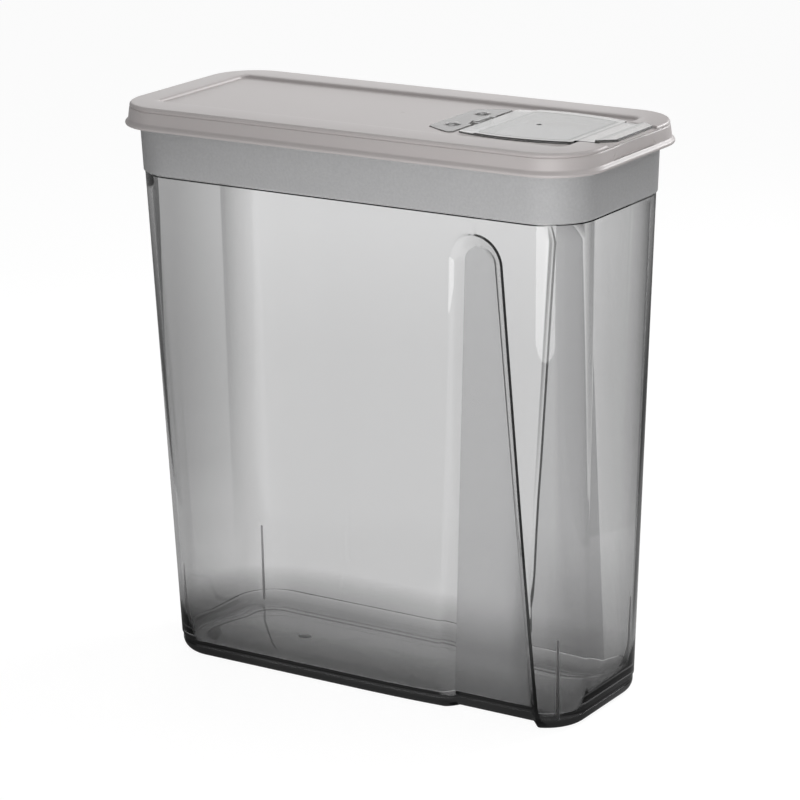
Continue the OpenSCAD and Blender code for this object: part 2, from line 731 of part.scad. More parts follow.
// Ears with the trunnions that snap into the block
module flap_ears() {
    y0 = block_half + ear_gap;
    for (s = [-1, 1]) {
        translate([axis_x, s * (y0 + ear_t / 2), axis_z]) rotate([90, 0, 0])
            linear_extrude(ear_t, center = true) flap_ear();
        translate([axis_x, s * (y0 - pin_l / 2 + sink), axis_z]) rotate([90, 0, 0])
            cylinder(d = pin_d, h = pin_l + 2 * sink, center = true);
    }
}

module spout_flap() {
    color(clear_tint) difference() {
        union() {
            flap_plate();
            flap_plug();
            flap_ears();
            intersection() {
                rotate([90, 0, 0]) linear_extrude(lid_w, center = true) lip_profile();
                translate([0, 0, flap_z0 - 1]) linear_extrude(lip_z1 - flap_z0 + 2) lip_outline();
            }
        }
        translate([flap_x0 + flap_gate, 0, plate_z - gate_h]) cylinder(d = gate_d, h = 1);
    }
}

container_body();
lid();
hinge_strip();
spout_flap();
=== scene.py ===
# Cereal container with a push-on lid and a clear flip spout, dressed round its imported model.
# Sizes are in millimetres, as in the part's source, and each piece is put into metres when it
# is settled. The sections follow the object as it is put together: container, lid, hinge
# strip and spout flap. Then come the studio's paper, cards and light, and the camera.
import bpy
import bmesh
import math
from mathutils import Matrix, Vector


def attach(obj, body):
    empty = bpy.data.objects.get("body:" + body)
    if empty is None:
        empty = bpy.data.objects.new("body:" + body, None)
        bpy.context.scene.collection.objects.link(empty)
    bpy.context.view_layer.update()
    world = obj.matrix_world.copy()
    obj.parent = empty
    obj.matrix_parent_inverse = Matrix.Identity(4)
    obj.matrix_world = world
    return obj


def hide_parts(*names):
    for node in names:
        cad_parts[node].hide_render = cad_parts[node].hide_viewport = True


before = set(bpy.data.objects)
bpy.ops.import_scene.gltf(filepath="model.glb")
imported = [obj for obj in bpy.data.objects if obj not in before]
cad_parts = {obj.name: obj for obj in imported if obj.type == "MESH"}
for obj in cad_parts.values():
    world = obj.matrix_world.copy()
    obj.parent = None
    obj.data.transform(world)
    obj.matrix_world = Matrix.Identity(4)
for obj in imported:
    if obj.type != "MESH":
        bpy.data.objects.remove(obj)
bpy.ops.object.select_all(action="DESELECT")
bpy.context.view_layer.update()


# Container body.
# One moulding of smoke-clear styrene plastic: a tapered box with a hand grip pressed into each
# broad wall and a matt collar under the rim. It is lofted from outlines, in mesh code, because
# the grips draw their walls in along curves that no edit-mode tool gives.
# The foot, its step and its roll; then the collar, where the wall ends, and the rim's bead.
FOOT_H, FOOT_L, FOOT_W, FOOT_R = 9.3, 226.3, 83.2, 22.3
FOOT_STEP, FOOT_ROLL = 0.6, 6.0
COLLAR_Z, TOP_L, TOP_W, TOP_R = 241.8, 240.2, 96.2, 22.6
COLLAR_STEP, COLLAR_H, COLLAR_ROUND = 0.7, 29.6, 0.5
BEAD_OUT, BEAD_H, RIM_ROUND, RIM_IN = 0.8, 3.4, 0.6, 0.4
RIM_Z = COLLAR_Z + COLLAR_H
# The wall and the floor, and the blend and the small step between them.
WALL_T, FLOOR_T, FLOOR_BLEND, FLOOR_STEP = 1.8, 2.2, 9.5, 0.45
# The grip: its place, the half widths of its edge and its floor, its depth and its draw.
GRIP_X, GRIP_ARCH_Z = 70.6, 219.2
EDGE_FOOT, EDGE_TOP, EDGE_LAND = 26.4, 13.8, 0.6
GFLOOR_FOOT, GFLOOR_TOP = 20.2, 7.6
DEPTH_FOOT, DEPTH_TOP = 7.0, 5.2
DRAW, DRAW_L = 1.5, 42.0
INNER_G = 0.42 * WALL_T
# The ribs in the corners, the gate's stub, and how matt the etched faces are.
RIB_H, RIB_T, RIB_OUT, RIB_SUNK, RIB_TIP = 35.0, 0.9, 2.4, 0.05, 0.25
GATE_X, GATE_D, GATE_H = -58.0, 6.5, 0.4
FULL_ETCH, RIB_ETCH, FINE_ETCH = 1.0, 0.5, 0.42
CORNER_STEPS = 18
DRAFT = [(top - foot) / (COLLAR_Z - FOOT_H)
         for top, foot in ((TOP_L, FOOT_L), (TOP_W, FOOT_W), (TOP_R, FOOT_R))]


def grown(size, rise):
    """Length, width and corner radius of the tapered wall, so much higher up."""
    return [value + draft * rise for value, draft in zip(size, DRAFT)]


def wall_at(z):
    return grown((FOOT_L, FOOT_W, FOOT_R), z - FOOT_H)


def collar_at(z):
    step = 2 * COLLAR_STEP
    return grown((TOP_L + step, TOP_W + step, TOP_R + COLLAR_STEP), z - COLLAR_Z)


def inset(size, d):
    return [size[0] - 2 * d, size[1] - 2 * d, max(size[2] - d, 1.0)]


def clamp(u):
    return min(max(u, 0.0), 1.0)


def along(z):
    return clamp((z - FOOT_H) / (GRIP_ARCH_Z - FOOT_H))


def blend(low, high, z):
    return low + (high - low) * along(z)


def half_width(foot, top, z, g, least):
    """Half width of a grip's edge or floor at a height: tapering, then round its arch."""
    if z <= GRIP_ARCH_Z:
        return g + blend(foot, top, z)
    return math.sqrt(max(least ** 2, (top + g) ** 2 - (z - GRIP_ARCH_Z) ** 2))


def crisp(u):
    """The slope beside the grip's sharp edge, from its floor at 0 to the wall at 1."""
    return 1 - clamp(u) ** 1.25


def soft(u):
    """The slope beside the grip's gentle edge."""
    return (1 - clamp(u)) ** 1.8


def grip_drop(dx, z, g):
    """How deep the broad wall is pressed in, dx from the middle of the grip."""
    if z > GRIP_ARCH_Z:
        rho = math.hypot(dx, z - GRIP_ARCH_Z)
        u = (rho - GFLOOR_TOP - g) / (EDGE_TOP - GFLOOR_TOP)
        w = (1 + dx / max(rho, 0.01)) / 2
        return DEPTH_TOP * (w * crisp(u) + (1 - w) * soft(u))
    e = half_width(EDGE_FOOT, EDGE_TOP, z, g, 3)
    f = half_width(GFLOOR_FOOT, GFLOOR_TOP, z, g, 1)
    d = blend(DEPTH_FOOT, DEPTH_TOP, z)
    t = DRAW * (1 - along(z))
    u = (abs(dx) - f) / (e - f)
    if dx > 0:
        return d * crisp(u)
    if u <= 1:
        return t + (d - t) * soft(u)
    return t * (1 - clamp((-dx - e) / DRAW_L)) ** 2


def arc(cx, cy, r, start, turn, steps=CORNER_STEPS):
    angles = [start + turn * i / steps for i in range(steps + 1)]
    return [(cx + r * math.cos(a), cy + r * math.sin(a)) for a in angles]


def wall_y(x, cx, cy, r):
    return cy + (math.sqrt(max(0.0, r * r - (x - cx) ** 2)) if x > cx else r)


def spread(steps, count):
    return [i / steps for i in range(count)]


def grip_ring(size, z, g=0.0):
    """The container's outline at a height, with a grip pressed into each broad wall."""
    r = size[2]
    cx, cy = size[0] / 2 - r, size[1] / 2 - r
    e = min(half_width(EDGE_FOOT, EDGE_TOP, z, g, 3), cx + 0.8 * r - GRIP_X)
    f = min(half_width(GFLOOR_FOOT, GFLOOR_TOP, z, g, 1), e - 1)
    turn = math.acos(max(0.0, GRIP_X + e + 2 * EDGE_LAND - cx) / r)
    places = [e + EDGE_LAND] + [e - (e - f) * u for u in spread(10, 11)] + [f * 0.5, 0, -f * 0.5]
    places += [-f - (e - f) * u for u in spread(12, 13)]
    places += [-e - DRAW_L * u for u in (0.06, 0.15, 0.28, 0.45, 0.65, 1)]
    half = arc(cx, cy, r, 0, turn)
    half += [(GRIP_X + dx, wall_y(GRIP_X + dx, cx, cy, r) - grip_drop(dx, z, g)) for dx in places]
    half += arc(-cx, cy, r, math.pi / 2, math.pi / 2)
    return [(x, y, z) for x, y in half] + [(x, -y, z) for x, y in reversed(half)]


def quarter(steps):
    """The angles of a quarter turn."""
    return [math.pi / 2 * i / steps for i in range(steps + 1)]


def arch_heights(g):
    """Heights from the grip's shoulders to the top of its arch, closer together as it closes."""
    return [GRIP_ARCH_Z + math.sin(a) * (EDGE_TOP + g) for a in quarter(16)]


def outside_rings():
    """The outside from the roll of the base up to the rim."""
    rings = []
    for a in quarter(9):
        size = inset(wall_at(FOOT_H), FOOT_STEP + FOOT_ROLL * (1 - math.sin(a)))
        rings.append(grip_ring(size, FOOT_ROLL * (1 - math.cos(a))))
    rings.append(grip_ring(inset(wall_at(FOOT_H), FOOT_STEP), FOOT_H - 0.35))
    rings.append(grip_ring(inset(wall_at(FOOT_H), FOOT_STEP * 0.5), FOOT_H - 0.1))
    heights = [FOOT_H + (GRIP_ARCH_Z - FOOT_H) * u for u in spread(12, 12)] + arch_heights(0)
    rings += [grip_ring(wall_at(z), z) for z in heights]
    rings.append(grip_ring(wall_at(COLLAR_Z - 0.15), COLLAR_Z - 0.15))
    for a in quarter(4):
        size = inset(collar_at(COLLAR_Z), COLLAR_STEP * (1 - math.sin(a)))
        rings.append(grip_ring(size, COLLAR_Z + COLLAR_ROUND * (1 - math.cos(a))))
    for a in spread(8, 9):
        z = RIM_Z - RIM_ROUND - BEAD_H * (1 - a)
        rings.append(grip_ring(inset(collar_at(z), -BEAD_OUT * math.sin(math.pi * a)), z))
    rings.append(grip_ring(inset(collar_at(RIM_Z), RIM_IN), RIM_Z))
    return rings


def inside_rings():
    """The inside from the rim down to the floor."""
    rings = [grip_ring(inset(collar_at(RIM_Z), WALL_T - RIM_IN), RIM_Z)]
    for z in (RIM_Z - RIM_ROUND, COLLAR_Z - 0.4):
        rings.append(grip_ring(inset(collar_at(z), WALL_T), z, INNER_G))
    rings.append(grip_ring(inset(wall_at(COLLAR_Z), WALL_T), COLLAR_Z - 1.2, INNER_G))
    heights = [FOOT_H + (GRIP_ARCH_Z - FOOT_H) * u for u in spread(12, 12)]
    heights += arch_heights(INNER_G)
    rings += [grip_ring(inset(wall_at(z), WALL_T), z, INNER_G) for z in reversed(heights)]
    inner, blend_low, blend_high = WALL_T + FOOT_STEP, FLOOR_T + FLOOR_STEP, FOOT_H - 0.3
    for a in reversed(quarter(10)[:-1]):
        size = inset(wall_at(FOOT_H), inner + (FLOOR_BLEND - 0.5) * (1 - math.sin(a)))
        z = blend_low + (blend_high - blend_low) * (1 - math.cos(a))
        rings.append(grip_ring(size, z, INNER_G))
    rings.append(grip_ring(inset(wall_at(FOOT_H), inner + FLOOR_BLEND), FLOOR_T, INNER_G))
    return rings


def loft(bm, rings):
    """Joins a stack of outlines with faces and closes its two ends."""
    rows = [[bm.verts.new(point) for point in ring] for ring in rings]
    for low, high in zip(rows, rows[1:]):
        for i in range(len(low)):
            k = (i + 1) % len(low)
            bm.faces.new((low[i], low[k], high[k], high[i]))
    bm.faces.new(list(reversed(rows[0])))
    bm.faces.new(rows[-1])


def add_corner_rib(bm, sx, sy):
    """A thin rib that stands in a corner."""
    size = inset(wall_at(FOOT_H), WALL_T)
    reach = size[2] * math.sqrt(0.5)
    place = Vector((sx * (size[0] / 2 - size[2] + reach), sy * (size[1] / 2 - size[2] + reach), 0))
    inward = Vector((-sx, -sy, 0)).normalized()
    side = Vector((-inward.y, inward.x, 0)) * RIB_T / 2
    low, knee, high = FOOT_H - 4, FOOT_H + 3, FOOT_H + RIB_H
    profile = [(-RIB_SUNK, low), (RIB_OUT, low), (RIB_OUT * 0.85, knee), (RIB_TIP, high),
               (-RIB_SUNK, high)]
    walls = [[bm.verts.new(place + inward * out + side * way + Vector((0, 0, z)))
              for out, z in profile] for way in (1, -1)]
    faces = [bm.faces.new(walls[0]), bm.faces.new(list(reversed(walls[1])))]
    for i in range(len(profile)):
        k = (i + 1) % len(profile)
        faces.append(bm.faces.new((walls[0][k], walls[0][i], walls[1][i], walls[1][k])))
    return faces


def add_gate_mark(bm):
    """The stub that is left on the floor where the plastic came in."""
    place = Matrix.Translation((GATE_X, 0, FLOOR_T))
    ends = bmesh.ops.create_cone(bm, cap_ends=True, segments=28, radius1=GATE_D / 2,
                                 radius2=GATE_D / 2, depth=GATE_H, matrix=place)
    return {face for vertex in ends["verts"] for face in vertex.link_faces}


def settle(piece, angle, even=False):
    """Puts a piece that was modelled in millimetres into metres and smooths its shading."""
    bpy.ops.object.select_all(action="DESELECT")
    bpy.context.view_layer.objects.active = piece
    piece.select_set(True)
    bpy.ops.object.transform_apply(location=True, rotation=True, scale=True)
    piece.data.transform(Matrix.Scale(0.001, 4))
    bpy.ops.object.shade_smooth_by_angle(angle=math.radians(angle))
    if even:
        normals = piece.modifiers.new("flat_faces", "WEIGHTED_NORMAL")
        normals.keep_sharp = True
        bpy.ops.object.modifier_apply(modifier=normals.name)
    piece.select_set(False)


def matt_share(centre, normal):
    """How matt a face is: the mould is etched round the collar and, more finely, in the grips."""
    if centre.z > COLLAR_Z + COLLAR_ROUND:
        return FULL_ETCH if normal.dot(Vector((centre.x, centre.y, 0))) > 0 else 0.0
    if centre.z < FOOT_H or centre.z > GRIP_ARCH_Z + GFLOOR_TOP or normal.y * centre.y < 0:
        return 0.0
    reach = half_width(GFLOOR_FOOT, GFLOOR_TOP, centre.z, 0, 1)
    return FINE_ETCH if abs(centre.x - GRIP_X) < reach and abs(normal.y) > 0.9 else 0.0


shell = bmesh.new()
grain = shell.faces.layers.float.new("matt")
loft(shell, outside_rings() + inside_rings())
bmesh.ops.recalc_face_normals(shell, faces=shell.faces)
for face in shell.faces:
    face[grain] = matt_share(face.calc_center_median(), face.normal)
for face in add_gate_mark(shell):
    face[grain] = FULL_ETCH
for sx in (-1, 1):
    for sy in (-1, 1):
        for face in add_corner_rib(shell, sx, sy):
            face[grain] = RIB_ETCH
bmesh.ops.recalc_face_normals(shell, faces=shell.faces)
mesh = bpy.data.meshes.new("container_shell")
shell.to_mesh(mesh)
shell.free()
container = bpy.data.objects.new("container_shell", mesh)
bpy.context.collection.objects.link(container)
settle(container, 38)


def tint(code):
    """A colour written as sRGB hex, in the linear values that the shader works with."""
    parts = [int(code[i:i + 2], 16) / 255 for i in (0, 2, 4)]
    return [c / 12.92 if c <= 0.04045 else ((c + 0.055) / 1.055) ** 2.4 for c in parts] + [1.0]


def add_node(tree, kind, inputs=None, **settings):
    """Adds a node with its settings, and sets or links its inputs."""
    node = tree.nodes.new(kind)
    for name, value in settings.items():
        setattr(node, name, value)
    for name, value in (inputs or {}).items():
        if isinstance(value, bpy.types.NodeSocket):
            tree.links.new(value, node.inputs[name])
        else:
            node.inputs[name].default_value = value
    return node


def calc(tree, operation, *values):
    """The result of a Math node."""
    node = add_node(tree, "ShaderNodeMath", dict(enumerate(values)), operation=operation)
    return node.outputs["Value"]


def remap(tree, value, low=0.0, high=1.0, to=(0.0, 1.0)):
    """A value carried from one range to another, and held at its ends."""
    node = add_node(tree, "ShaderNodeMapRange", {"Value": value, "From Min": low, "From Max": high,
                                                 "To Min": to[0], "To Max": to[1]})
    return node.outputs["Result"]


def noise(tree, place, scale, detail=2.0):
    """Soft, irregular patches, the smaller the larger the scale."""
    inputs = {"Vector": place, "Scale": scale, "Detail": detail}
    return add_node(tree, "ShaderNodeTexNoise", inputs).outputs["Fac"]


def mix_values(tree, factor, first, second):
    node = add_node(tree, "ShaderNodeMix", {"Factor": factor, "A": first, "B": second})
    return node.outputs["Result"]


def mix_colours(tree, factor, first, second, mode="MIX"):
    node = add_node(tree, "ShaderNodeMix", {"Factor": factor, "A": first, "B": second},
                    data_type="RGBA", blend_type=mode)
    return node.outputs["Result"]


def new_material(name):
    material = bpy.data.materials.new(name)
    material.use_nodes = True
    material.node_tree.nodes.clear()
    return material, material.node_tree


def add_clear_output(tree, surface, code, density):
    """The output of a see-through plastic, which takes up light along the way through it."""
    loss = add_node(tree, "ShaderNodeVolumeAbsorption", {"Color": tint(code), "Density": density})
    add_node(tree, "ShaderNodeOutputMaterial", {"Surface": surface,
                                                "Volume": loss.outputs["Volume"]})


def smoke_plastic(name):
    """Smoke-clear styrene: light is lost along its way through it, so thick edges are dark.
    Where the mould was etched, the surface is matt and scatters light."""
    material, tree = new_material(name)
    place = add_node(tree, "ShaderNodeTexCoord").outputs["Object"]
    matt = add_node(tree, "ShaderNodeAttribute", attribute_name="matt").outputs["Fac"]
    height = mix_values(tree, matt, noise(tree, place, 16.0), noise(tree, place, 1500.0))
    bump = add_node(tree, "ShaderNodeBump", {"Height": height, "Strength": 1.0,
                                             "Distance": remap(tree, matt, to=(0.00002, 0.0001))})
    film = calc(tree, "MULTIPLY", matt, matt)
    colour = mix_colours(tree, remap(tree, matt, high=FINE_ETCH), tint("FFFFFF"), tint("CECECF"))
    speck = remap(tree, noise(tree, place, 800.0, 3.0), 0.3, 0.7, to=(0.9, 1.0))
    shader = add_node(tree, "ShaderNodeBsdfPrincipled", {
        "Base Color": mix_colours(tree, matt, colour, speck, "MULTIPLY"),
        "Transmission Weight": remap(tree, film, to=(1.0, 0.42)), "IOR": 1.57,
        "Roughness": remap(tree, matt, to=(0.02, 0.55)), "Normal": bump.outputs["Normal"]})
    add_clear_output(tree, shader.outputs["BSDF"], "B8B8B9", 165.0)
    return material


container.data.materials.append(smoke_plastic("smoke_clear_moulded_styrene"))
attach(container, "container")
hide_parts("container_body")


# Lid.
# One moulding of warm grey polypropylene with a satin face: a crowned rim round a sunken panel, a
# flared skirt, and under it the plug ring and seat ribs. It presses onto the container's rim. Its
# shell is extruded outline by outline, and the pouring hole, pocket and notch are cut from it.
# The outline, the panel and the crown of the rim round it.
LID_L, LID_W, LID_R = 250.0, 105.7, 24.0
PANEL_Z, LID_T, CROWN_Z = 273.3, 1.6, 274.9
END_BAND, SIDE_BAND, PANEL_R = 15.3, 16.85, 4.0
# The skirt with its flared foot, and the groove under the crown's rounded edge.
SKIRT_Z, DRAFT_OUT, FLARE_OUT, FLARE_H = 264.0, 0.8, 1.5, 3.2
EDGE_R, CROWN_FALL, ROOF_BEND, GROOVE_IN = 1.5, 0.3, 2.2, 0.35
# Underneath: the plug ring, the roof of the rim's channel, and the ribs that seat on the rim.
PLUG_L, PLUG_W, PLUG_R, PLUG_Z = 239.1, 95.0, 22.0, 262.5
SEAT_Z, ROOF_Z, UNDER_Z = 271.5, 273.3, 271.7
SEAT_RIB_T, SEAT_RIB_PITCH, SEAT_RIBS, END_RIB_Y = 1.2, 49.5, 5, 27
SIDE_RIB, END_RIB = (47.1, 51.6), (119.2, 123.8)
# The spout's places: its notch and hole, and the outlines of the flap and the strip.
NOTCH_HALF, NOTCH_FLOOR_HALF, PANEL_END = 23.0, 24.6, 109.7
HOLE, HOLE_LOW, HINGE_SLOT = (48.3, 105.5, 3.2, 3.0), UNDER_Z - 2.4, (44.0, 49.3, -8.6, 8.6)
FLAP_HALF, FLAP_X0, FLAP_X1, WIDE_X = 30.4, 50.4, 108.3, 76.0
STRIP_X0, STRIP_X1, STRIP_HALF0, STRIP_HALF1 = 31.2, 47.5, 19.8, 27.9
STRIP_Z, STUD_X, STUD_Y, STUD_HOLE_R = 272.5, 39.5, 13.0, 2.45
# The scoop for a finger in the front end of the skirt, the gate's mark in the panel, and a height
# above all of the lid.
SCOOP_HALF, SCOOP_D, SCOOP_H, SCOOP_LEAN = 20.0, 0.7, 12, math.tan(math.radians(4))
LID_GATE_X, LID_GATE_R, LID_GATE_D = 4.5, 1.0, 0.2
ABOVE = 280


def rounded(length, width, radius, z, steps=12):
    """A rounded rectangle at a height, as a ring of points."""
    cx, cy = length / 2 - radius, width / 2 - radius
    quarters = ((cx, cy, 0), (-cx, cy, 1), (-cx, -cy, 2), (cx, -cy, 3))
    return [(x, y, z) for px, py, q in quarters
            for x, y in arc(px, py, radius, q * math.pi / 2, math.pi / 2, steps)]


def round_ring(x, y, radius, z, count=32):
    angles = [2 * math.pi * i / count for i in range(count)]
    return [(x + radius * math.cos(a), y + radius * math.sin(a), z) for a in angles]


def add_solid(name, rings):
    """Starts from a filled circle, set to the first outline, and extrudes it through the rest."""
    bpy.ops.object.select_all(action="DESELECT")
    bpy.ops.mesh.primitive_circle_add(vertices=len(rings[0]), radius=1, fill_type="NGON")
    piece = bpy.context.object
    piece.name = piece.data.name = name
    bpy.ops.object.mode_set(mode="EDIT")
    bpy.ops.mesh.select_all(action="SELECT")
    for number, ring in enumerate(rings):
        if number:
            bpy.ops.mesh.extrude_region_move()
        bm = bmesh.from_edit_mesh(piece.data)
        cap = next(face for face in bm.faces if face.select)
        for vertex, point in zip(cap.verts, ring):
            vertex.co = point
        bmesh.update_edit_mesh(piece.data)
    bpy.ops.mesh.select_all(action="SELECT")
    bpy.ops.mesh.normals_make_consistent(inside=False)
    bpy.ops.object.mode_set(mode="OBJECT")
    return piece


def add_slab(name, outline, low, high):
    return add_solid(name, [[(x, y, z) for x, y in outline] for z in (low, high)])


def add_bar(name, profile, low, high):
    """A side view in x and z, carried across the width."""
    return add_solid(name, [[(x, y, z) for x, z in profile] for y in (low, high)])


def rectangle(x0, x1, y0, y1):
    return [(x0, y0), (x1, y0), (x1, y1), (x0, y1)]


def combine(piece, tools, operation):
    """Cuts or joins whole solids with the Boolean modifier and takes the tools away."""
    for tool in tools:
        bpy.ops.object.select_all(action="DESELECT")
        bpy.context.view_layer.objects.active = piece
        piece.select_set(True)
        change = piece.modifiers.new("join", "BOOLEAN")
        change.operation, change.solver, change.object = operation, "EXACT", tool
        bpy.ops.object.modifier_apply(modifier=change.name)
        bpy.data.objects.remove(tool)


def soften(piece, width, angle):
    """Rounds every sharp edge a little, as a mould's edges are."""
    bpy.ops.object.select_all(action="DESELECT")
    bpy.context.view_layer.objects.active = piece
    piece.select_set(True)
    bpy.ops.object.mode_set(mode="EDIT")
    bpy.ops.mesh.select_all(action="SELECT")
    bpy.ops.mesh.remove_doubles(threshold=0.005)
    bpy.ops.object.mode_set(mode="OBJECT")
    edge = piece.modifiers.new("edges", "BEVEL")
    edge.width, edge.segments, edge.limit_method = width, 2, "ANGLE"
    edge.angle_limit, edge.use_clamp_overlap = math.radians(angle), False
    edge.miter_outer = "MITER_ARC"
    bpy.ops.object.modifier_apply(modifier=edge.name)


def lid_ring(d, z):
    return rounded(LID_L - 2 * d, LID_W - 2 * d, max(LID_R - d, 0.6), z)


def panel_ring(d, z):
    length, width = LID_L - 2 * END_BAND, LID_W - 2 * SIDE_BAND
    return rounded(length - 2 * d, width - 2 * d, PANEL_R - d * 0.5, z)


def plug_ring(d, z):
    return rounded(PLUG_L - 2 * d, PLUG_W - 2 * d, PLUG_R - d, z)


def lid_outlines():
    """The lid's section from the middle of the panel over the rim and skirt to its underside."""
    rings = [panel_ring(d, PANEL_Z + h) for d, h in ((0.9, 0), (0.55, 0.1), (0.35, 0.35))]
    rings += [panel_ring(d, CROWN_Z - h)
              for d, h in ((0.1, 0.75), (-0.15, 0.42), (-0.7, 0.2), (-1.6, 0.07), (-2.8, 0))]
    rings += [lid_ring(10.5, CROWN_Z), lid_ring(7, CROWN_Z - 0.06), lid_ring(4, CROWN_Z - 0.2)]
    for a in quarter(8):
        drop = CROWN_FALL + EDGE_R * (1 - math.cos(a))
        rings.append(lid_ring(EDGE_R * (1 - math.sin(a)), CROWN_Z - drop))
    low_edge = CROWN_Z - CROWN_FALL - EDGE_R
    rings += [lid_ring(0.0, low_edge - 0.15), lid_ring(GROOVE_IN, low_edge - 0.3),
              lid_ring(GROOVE_IN, low_edge - 0.6), lid_ring(-0.1, low_edge - 0.8)]
    flare_z = SKIRT_Z + FLARE_H
    rings.append(lid_ring(-DRAFT_OUT * 0.6, flare_z + 2.5))
    for t in spread(8, 9):
        out = FLARE_OUT * math.sin(math.pi / 2 * t) ** 2
        rings.append(lid_ring(-DRAFT_OUT - out, flare_z - (FLARE_H - 1.1) * t))
    rings += [lid_ring(-DRAFT_OUT - FLARE_OUT * f, SKIRT_Z + h)
              for f, h in ((1.0, 0.7), (0.85, 0.25), (0.5, 0.02), (0.2, 0.0))]
    rings += [lid_ring(LID_T - DRAFT_OUT - FLARE_OUT * f, SKIRT_Z + h)
              for f, h in ((0.9, 0.0), (0.7, 1.8), (0.3, 2.8), (0, FLARE_H + 0.4))]
    rings += [lid_ring(LID_T, ROOF_Z - 1), lid_ring(ROOF_BEND + LID_T, ROOF_Z)]
    rings += [plug_ring(0, UNDER_Z + 0.4), plug_ring(0, SEAT_Z - 2), plug_ring(0.2, PLUG_Z + 1.6),
              plug_ring(0.9, PLUG_Z), plug_ring(1.6, PLUG_Z), plug_ring(1.4, UNDER_Z)]
    return rings


def flap_width(x):
    """Half the flap's width, which bulges between its two ends."""
    if x < WIDE_X:
        return FLAP_HALF - 3.8 * ((WIDE_X - x) / (WIDE_X - FLAP_X0)) ** 2
    return FLAP_HALF - 5.0 * ((x - WIDE_X) / (FLAP_X1 - WIDE_X)) ** 2


def mirrored(side):
    return side + [(x, -y) for x, y in reversed(side)]


def between(x0, x1, r, steps):
    """Places from the front corner back to the rear one, without the corners themselves."""
    return [x1 - r + (x0 - x1 + 2 * r) * i / steps for i in range(1, steps)]


def boat(x0, x1, d, r):
    """The bulging outline of the flap and the opening, set in by d, with corners of radius r."""
    rear, front = flap_width(x0 + r) - d - r, flap_width(x1 - r) - d - r
    side = arc(x1 - r, front, r, 0, math.pi / 2, 8)
    side += [(x, flap_width(x) - d) for x in between(x0, x1, r, 16)]
    return mirrored(side + arc(x0 + r, rear, r, math.pi / 2, math.pi / 2, 8))


def strip_outline(d, r=2.0):
    """The hinge strip's plan: wide at the hinge, narrower behind, its corners rounded."""
    def half(x):
        u = clamp((x - STRIP_X0) / (STRIP_X1 - STRIP_X0))
        return STRIP_HALF1 - (STRIP_HALF1 - STRIP_HALF0) * (1 - u) ** 1.4 + d
    x0, x1, slant = STRIP_X0 - d, STRIP_X1 + d, 0.35
    side = arc(x1 - r, half(x1 - r) - r, r, 0, math.pi / 2, 6)
    side += [(x, half(x)) for x in between(x0, x1, r, 8)]
    rear = arc(x0 + r, half(x0 + r) - r, r, math.pi / 2 + slant, math.pi / 2 - slant, 6)
    return mirrored(side + rear)


def add_rib(xs, ys):
    return add_slab("seat_rib", rectangle(*xs, *ys), SEAT_Z, ROOF_Z + 0.2)


def about(middle, width):
    return middle - width / 2, middle + width / 2


def on_side(side, ends):
    """Two ends of a stretch, carried to one side of the middle, the lower end first."""
    return sorted(side * end for end in ends)


def add_dish(x, top, radius, depth):
    """The shallow round dish of a gate's mark, to be cut into a face."""
    rings = [round_ring(x, 0, radius, top - depth), round_ring(x, 0, radius + 0.5, top + 0.1)]
    return add_solid("gate_dish", rings)


lid = add_solid("lid_shell", lid_outlines())
notch_floor = rectangle(PANEL_END - 1, LID_L / 2 - 1, -NOTCH_FLOOR_HALF, NOTCH_FLOOR_HALF)
hole_outside = boat(HOLE[0] - 1.2, HOLE[1] + 1.2, HOLE[2] - 1.2, 4.2)
under = [add_slab("notch_floor", notch_floor, UNDER_Z, PANEL_Z),
         add_slab("strip_pad", strip_outline(2, 4.0), STRIP_Z - LID_T, UNDER_Z + 0.2),
         add_slab("hole_collar", hole_outside, HOLE_LOW, UNDER_Z + 0.2)]
for flip in (1, -1):
    for i in range(SEAT_RIBS):
        x = (i - (SEAT_RIBS - 1) / 2) * SEAT_RIB_PITCH
        under.append(add_rib(about(x, SEAT_RIB_T), on_side(flip, SIDE_RIB)))
    for y in (-END_RIB_Y, END_RIB_Y):
        under.append(add_rib(on_side(flip, END_RIB), about(y, SEAT_RIB_T)))
combine(lid, under, "UNION")
scoop_r = (SCOOP_HALF ** 2 + SCOOP_D ** 2) / (2 * SCOOP_D)
scoop_x = LID_L / 2 + DRAFT_OUT - SCOOP_D + scoop_r
low_ring = round_ring(scoop_x, 0, scoop_r, SKIRT_Z + FLARE_H, 360)
high_ring = [(x - SCOOP_H * SCOOP_LEAN, y, z + SCOOP_H) for x, y, z in low_ring]
cuts = [add_slab("notch", rectangle(PANEL_END - 1, 140, -NOTCH_HALF, NOTCH_HALF), PANEL_Z, ABOVE),
        add_solid("finger_scoop", [low_ring, high_ring]),
        add_slab("pocket", strip_outline(0.25), STRIP_Z, ABOVE),
        add_slab("opening", boat(*HOLE), HOLE_LOW - 1, ABOVE),
        add_slab("hinge_slot", rectangle(*HINGE_SLOT), HOLE_LOW - 1, ABOVE),
        add_dish(LID_GATE_X, PANEL_Z, LID_GATE_R, LID_GATE_D)]
for side in (-1, 1):
    hole = [round_ring(STUD_X, side * STUD_Y, STUD_HOLE_R, z) for z in (268, 276)]
    cuts.append(add_solid("stud_hole", hole))
combine(lid, cuts, "DIFFERENCE")
soften(lid, 0.22, 42)
settle(lid, 32, even=True)


